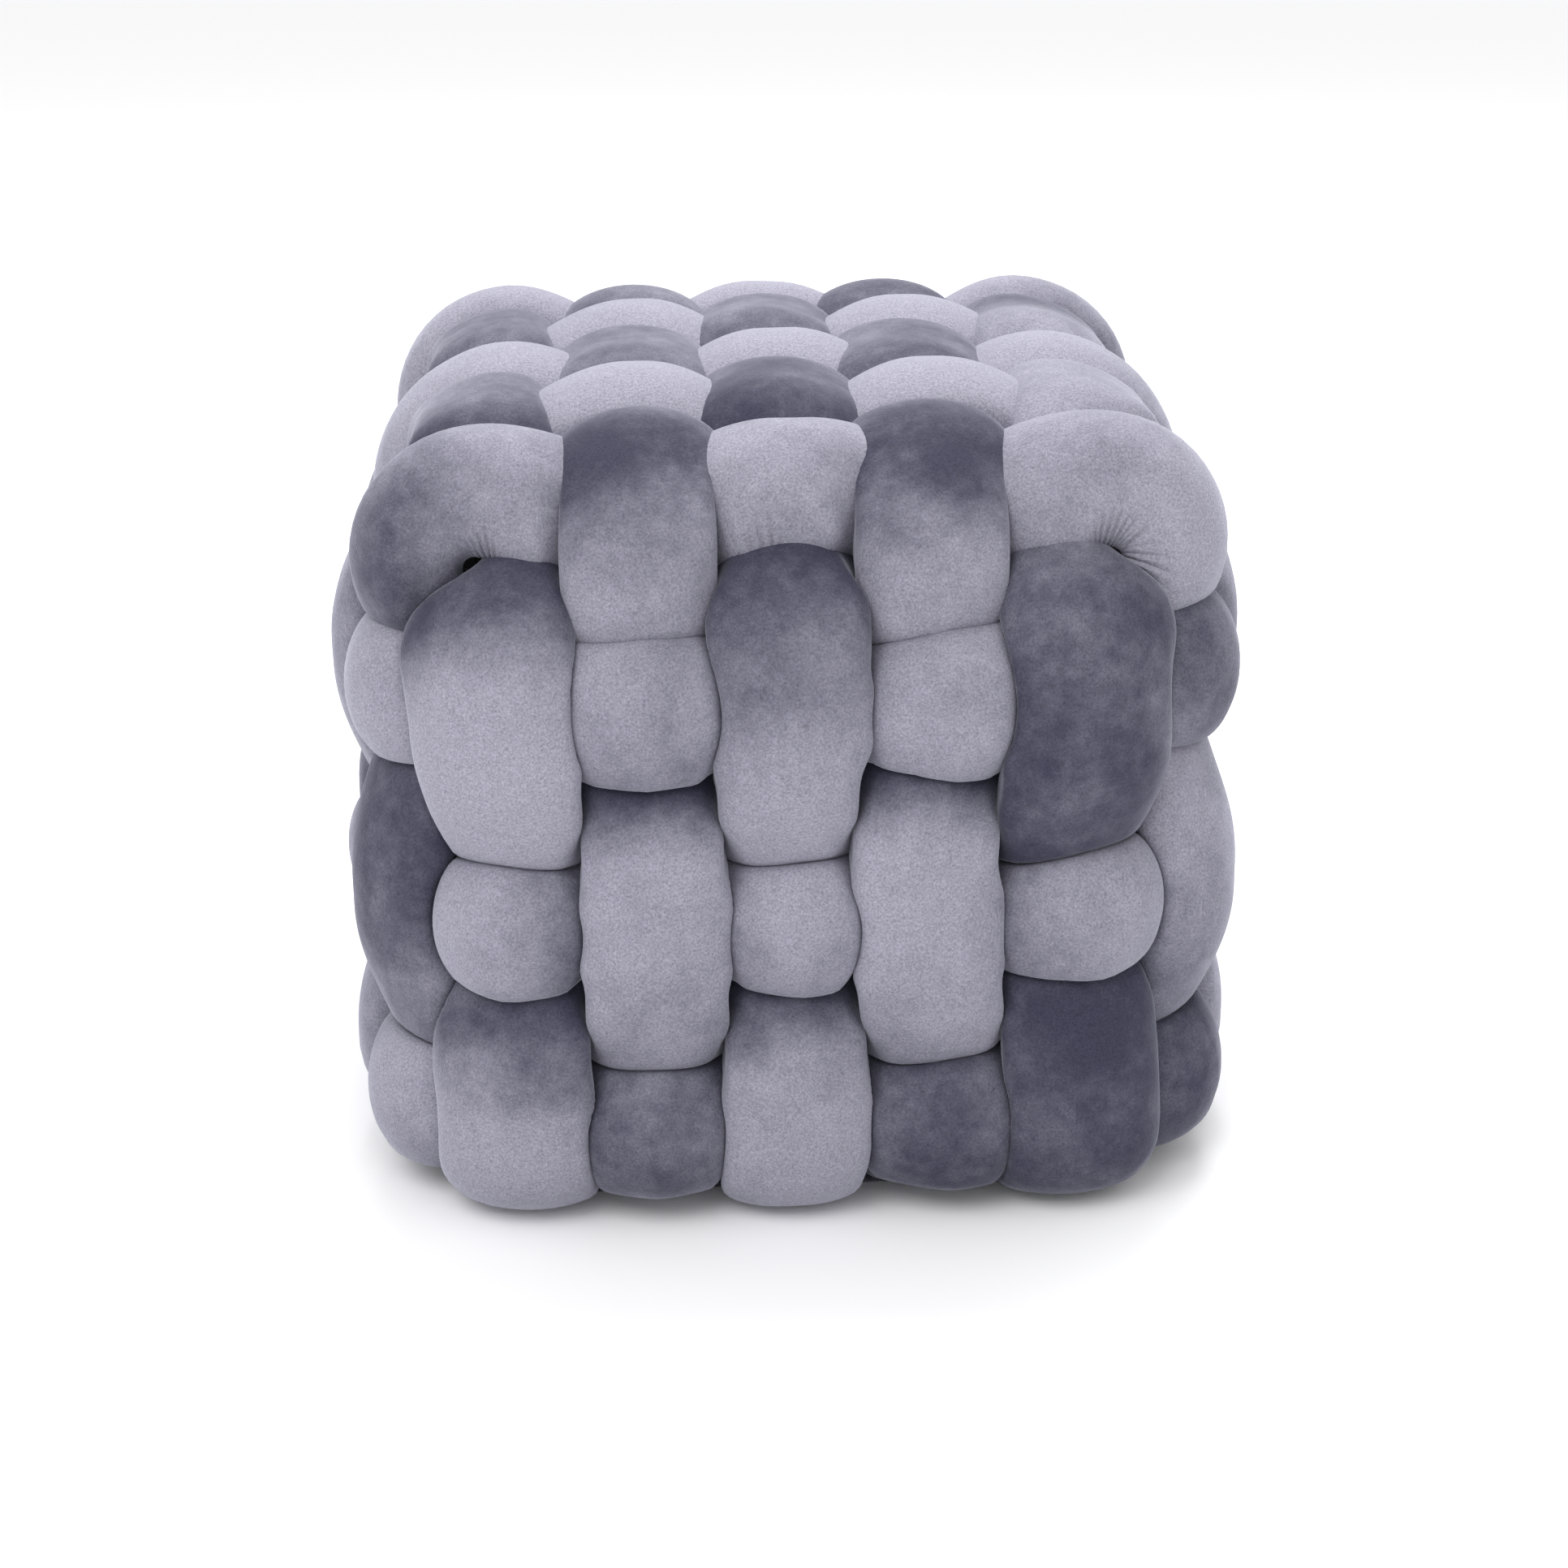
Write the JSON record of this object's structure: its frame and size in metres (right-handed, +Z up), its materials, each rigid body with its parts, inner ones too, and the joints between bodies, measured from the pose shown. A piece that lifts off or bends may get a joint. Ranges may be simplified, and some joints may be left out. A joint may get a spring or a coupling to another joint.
{
  "type": "throw pillow",
  "caption": "Cube-shaped throw cushion woven from stuffed velvet tubes: straps over the top and down the sides, rings around it, a foam core inside and a canvas base.",
  "frame": {"origin": "middle of the underside, on the floor", "axes": "+Z up, the face seen in the picture towards -Y, +X to its right"},
  "size_m": [0.457, 0.457, 0.406],
  "materials": {
    "velvet": "short pile velvet, grey with a lavender cast",
    "stuffing": "loose polyester fibre",
    "foam": "open-cell foam",
    "lining": "plain woven lining",
    "canvas": "plain canvas",
    "thread": "spun sewing thread"
  },
  "bodies": {
    "root": {"long_strap_1_cover": "velvet", "long_strap_1_filling": "stuffing", "long_strap_2_cover": "velvet", "long_strap_2_filling": "stuffing", "long_strap_3_cover": "velvet", "long_strap_3_filling": "stuffing", "long_strap_4_cover": "velvet", "long_strap_4_filling": "stuffing", "long_strap_5_cover": "velvet", "long_strap_5_filling": "stuffing", "cross_strap_1_cover": "velvet", "cross_strap_1_filling": "stuffing", "cross_strap_2_cover": "velvet", "cross_strap_2_filling": "stuffing", "cross_strap_3_cover": "velvet", "cross_strap_3_filling": "stuffing", "cross_strap_4_cover": "velvet", "cross_strap_4_filling": "stuffing", "cross_strap_5_cover": "velvet", "cross_strap_5_filling": "stuffing", "ring_top_cover": "velvet", "ring_top_filling": "stuffing", "ring_middle_cover": "velvet", "ring_middle_filling": "stuffing", "ring_bottom_cover": "velvet", "ring_bottom_filling": "stuffing", "core_foam": "foam", "core_lining": "lining", "base_panel": "canvas", "base_stitches": "thread", "strap_end_stitches": "thread", "ring_join_stitches": "thread"}
  },
  "joints": []
}
